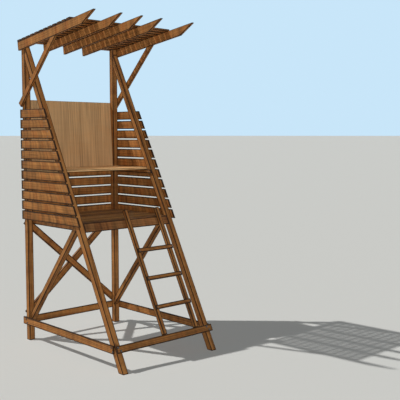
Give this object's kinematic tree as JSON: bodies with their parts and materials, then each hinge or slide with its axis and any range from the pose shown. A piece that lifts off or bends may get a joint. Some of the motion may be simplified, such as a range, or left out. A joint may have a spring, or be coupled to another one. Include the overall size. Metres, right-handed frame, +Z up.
{
  "type": "lifeguard tower",
  "caption": "Open timber lifeguard tower: raked and upright posts carry a slatted cabin with a bench seat, a back panel, a battened shade roof and a leaning ladder.",
  "frame": {"origin": "on the ground, under the middle of the tower's bounding box", "axes": "+Z up, the open front and the ladder face -Y, +X to the right seen from the front"},
  "size_m": [1.412, 1.948, 3.7709],
  "materials": {
    "frame_timber": "planed square timber with an oiled orange-brown finish and fine lengthwise grain",
    "rail_boards": "planed boards with an oiled orange-brown finish",
    "deck_timber": "darker oiled boards and beams",
    "wall_slats": "planed slats with an oiled orange-brown finish and lengthwise grain",
    "back_plywood": "tan plywood with upright face grain",
    "seat_plank": "light oiled board",
    "roof_timber": "planed rafters and battens with an oiled orange-brown finish"
  },
  "bodies": {
    "root": {"left_rear_post": "frame_timber", "right_rear_post": "frame_timber", "left_raked_post": "frame_timber", "right_raked_post": "frame_timber", "left_side_brace": "frame_timber", "right_side_brace": "frame_timber", "ladder_left_stringer": "frame_timber", "ladder_right_stringer": "frame_timber", "left_base_rail": "rail_boards", "right_base_rail": "rail_boards", "front_base_rail": "rail_boards", "rear_base_rail": "rail_boards", "rear_brace_rising": "rail_boards", "rear_brace_falling": "rail_boards", "ladder_lower_rung": "rail_boards", "ladder_middle_rung": "rail_boards", "ladder_upper_rung": "rail_boards", "left_seat_bearer": "rail_boards", "right_seat_bearer": "rail_boards", "left_deck_beam": "deck_timber", "right_deck_beam": "deck_timber", "front_deck_beam": "deck_timber", "rear_deck_beam": "deck_timber", "deck_boards": "deck_timber", "left_wall_slats": "wall_slats", "right_wall_slats": "wall_slats", "rear_wall_slats": "wall_slats", "back_panel": "back_plywood", "seat_board": "seat_plank", "left_outer_rafter": "roof_timber", "right_outer_rafter": "roof_timber", "left_inner_rafter": "roof_timber", "middle_inner_rafter": "roof_timber", "right_inner_rafter": "roof_timber", "roof_battens": "roof_timber", "left_roof_strut": "roof_timber", "right_roof_strut": "roof_timber"}
  },
  "joints": []
}
